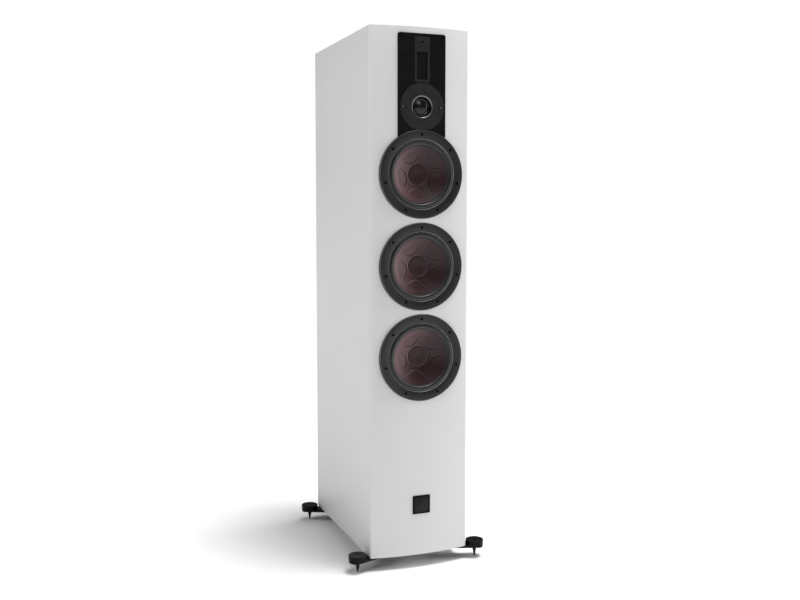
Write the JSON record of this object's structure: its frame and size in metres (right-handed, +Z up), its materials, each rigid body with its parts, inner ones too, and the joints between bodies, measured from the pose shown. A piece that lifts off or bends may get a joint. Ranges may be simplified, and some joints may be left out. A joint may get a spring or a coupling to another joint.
{
  "type": "floorstanding speaker",
  "caption": "Tall slim loudspeaker with a curved lacquered front, round bass drivers, a dome and ribbon tweeter module, rear ports and terminals, and outrigger feet with adjustable spikes.",
  "frame": {"origin": "on the floor, under the middle of the whole object's footprint", "axes": "+Z up, the front with the drivers faces -Y, +X is the right side seen from the front"},
  "size_m": [0.3092, 0.4326, 1.1323],
  "materials": {
    "lacquer": "seamless satin-gloss white lacquer over fibreboard",
    "raw_board": "bare fibreboard",
    "ring_black": "satin black die-cast ring",
    "rubber": "soft matt rubber",
    "wood_fibre": "dark red-brown paper pulp with wood fibre",
    "spider_cloth": "resin-dipped cloth",
    "cast_alloy": "black coated casting",
    "magnet": "ferrite and zinc-plated steel",
    "module_black": "satin black plate",
    "faceplate_grey": "brushed dark grey anodised plate",
    "silk": "coated black silk",
    "foil": "pleated foil",
    "foot_black": "gloss black coated steel",
    "spike_steel": "black steel, turned to a point",
    "port_plastic": "fine-textured black plastic",
    "terminal_metal": "brushed black plate with gold-plated studs",
    "contact_gold": "gold-plated brass",
    "post_cap": "clear-coated black caps with a metal core",
    "circuit_board": "glass-fibre board",
    "copper_wire": "enamelled copper winding",
    "sleeve": "black sleeving"
  },
  "bodies": {
    "cabinet": {"front_baffle": "lacquer", "rear_panel": "lacquer", "side_panel_left": "lacquer", "side_panel_right": "lacquer", "top_panel": "lacquer", "bottom_panel": "lacquer", "brace_upper": "raw_board", "brace_lower": "raw_board", "trim_ring_upper": "ring_black", "surround_upper": "rubber", "spider_upper": "spider_cloth", "basket_upper": "cast_alloy", "magnet_upper": "magnet", "trim_ring_middle": "ring_black", "surround_middle": "rubber", "spider_middle": "spider_cloth", "basket_middle": "cast_alloy", "magnet_middle": "magnet", "trim_ring_lower": "ring_black", "surround_lower": "rubber", "spider_lower": "spider_cloth", "basket_lower": "cast_alloy", "magnet_lower": "magnet", "module_plate": "module_black", "badge_plate": "module_black", "dome_faceplate": "faceplate_grey", "ribbon_frame": "faceplate_grey", "dome_magnet": "magnet", "ribbon_magnet": "magnet", "outrigger_arm_front_left": "foot_black", "outrigger_arm_front_right": "foot_black", "outrigger_arm_rear_left": "foot_black", "outrigger_arm_rear_right": "foot_black", "port_tube_upper": "port_plastic", "port_tube_lower": "port_plastic", "terminal_plate": "terminal_metal", "jumper_link_left": "contact_gold", "jumper_link_right": "contact_gold", "crossover_board": "circuit_board", "bass_inductor": "copper_wire", "treble_inductor": "copper_wire", "crossover_capacitor": "sleeve", "wiring_loom": "sleeve"},
    "cone_upper": {"cone_upper": "wood_fibre"},
    "cone_middle": {"cone_middle": "wood_fibre"},
    "cone_lower": {"cone_lower": "wood_fibre"},
    "dome": {"dome_diaphragm": "silk"},
    "ribbon": {"ribbon_foil": "foil"},
    "knob_front_left": {"foot_knob_front_left": "foot_black"},
    "spike_front_left": {"foot_spike_front_left": "spike_steel"},
    "knob_front_right": {"foot_knob_front_right": "foot_black"},
    "spike_front_right": {"foot_spike_front_right": "spike_steel"},
    "knob_rear_left": {"foot_knob_rear_left": "foot_black"},
    "spike_rear_left": {"foot_spike_rear_left": "spike_steel"},
    "knob_rear_right": {"foot_knob_rear_right": "foot_black"},
    "spike_rear_right": {"foot_spike_rear_right": "spike_steel"},
    "post_upper_left": {"binding_post_upper_left": "post_cap"},
    "post_lower_left": {"binding_post_lower_left": "post_cap"},
    "post_upper_right": {"binding_post_upper_right": "post_cap"},
    "post_lower_right": {"binding_post_lower_right": "post_cap"}
  },
  "joints": [
    {"name": "cone_stroke_upper", "type": "slide", "parent": "cabinet", "child": "cone_upper", "axis": [0, -1, 0], "range_m": [-0.006, 0.006], "stiffness_N_per_m": 1000, "deforming": ["surround_upper", "spider_upper"]},
    {"name": "cone_stroke_middle", "type": "slide", "parent": "cabinet", "child": "cone_middle", "axis": [0, -1, 0], "range_m": [-0.006, 0.006], "stiffness_N_per_m": 1000, "deforming": ["surround_middle", "spider_middle"]},
    {"name": "cone_stroke_lower", "type": "slide", "parent": "cabinet", "child": "cone_lower", "axis": [0, -1, 0], "range_m": [-0.006, 0.006], "stiffness_N_per_m": 1000, "deforming": ["surround_lower", "spider_lower"]},
    {"name": "dome_stroke", "type": "slide", "parent": "cabinet", "child": "dome", "axis": [0, -1, 0], "range_m": [-0.0003, 0.0003], "stiffness_N_per_m": 300},
    {"name": "ribbon_stroke", "type": "slide", "parent": "cabinet", "child": "ribbon", "axis": [0, -1, 0], "range_m": [-0.0003, 0.0003], "stiffness_N_per_m": 200},
    {"name": "spike_travel_front_left", "type": "slide", "parent": "cabinet", "child": "spike_front_left", "axis": [0, 0, 1], "range_m": [0, 0.006]},
    {"name": "knob_turn_front_left", "type": "hinge", "parent": "spike_front_left", "child": "knob_front_left", "pos_m": [-0.1352, -0.1928, 0.0308], "axis": [0, 0, 1], "range_deg": [0, 1441]},
    {"name": "spike_travel_front_right", "type": "slide", "parent": "cabinet", "child": "spike_front_right", "axis": [0, 0, 1], "range_m": [0, 0.006]},
    {"name": "knob_turn_front_right", "type": "hinge", "parent": "spike_front_right", "child": "knob_front_right", "pos_m": [0.1352, -0.1928, 0.0308], "axis": [0, 0, 1], "range_deg": [0, 1441]},
    {"name": "spike_travel_rear_left", "type": "slide", "parent": "cabinet", "child": "spike_rear_left", "axis": [0, 0, 1], "range_m": [0, 0.006]},
    {"name": "knob_turn_rear_left", "type": "hinge", "parent": "spike_rear_left", "child": "knob_rear_left", "pos_m": [-0.1352, 0.1782, 0.0308], "axis": [0, 0, 1], "range_deg": [0, 1441]},
    {"name": "spike_travel_rear_right", "type": "slide", "parent": "cabinet", "child": "spike_rear_right", "axis": [0, 0, 1], "range_m": [0, 0.006]},
    {"name": "knob_turn_rear_right", "type": "hinge", "parent": "spike_rear_right", "child": "knob_rear_right", "pos_m": [0.1352, 0.1782, 0.0308], "axis": [0, 0, 1], "range_deg": [0, 1441]},
    {"name": "post_turn_upper_left", "type": "hinge", "parent": "cabinet", "child": "post_upper_left", "pos_m": [-0.022, 0.2073, 0.2133], "axis": [0, 1, 0], "range_deg": [0, 1080]},
    {"name": "post_turn_lower_left", "type": "hinge", "parent": "cabinet", "child": "post_lower_left", "pos_m": [-0.022, 0.2073, 0.1793], "axis": [0, 1, 0], "range_deg": [0, 1080]},
    {"name": "post_turn_upper_right", "type": "hinge", "parent": "cabinet", "child": "post_upper_right", "pos_m": [0.022, 0.2073, 0.2133], "axis": [0, 1, 0], "range_deg": [0, 1080]},
    {"name": "post_turn_lower_right", "type": "hinge", "parent": "cabinet", "child": "post_lower_right", "pos_m": [0.022, 0.2073, 0.1793], "axis": [0, 1, 0], "range_deg": [0, 1080]}
  ],
  "couplings": [
    {"joint": "knob_turn_front_left", "follows": "spike_travel_front_left", "rad_per_m": 4188.8},
    {"joint": "knob_turn_front_right", "follows": "spike_travel_front_right", "rad_per_m": 4188.8},
    {"joint": "knob_turn_rear_left", "follows": "spike_travel_rear_left", "rad_per_m": 4188.8},
    {"joint": "knob_turn_rear_right", "follows": "spike_travel_rear_right", "rad_per_m": 4188.8}
  ]
}
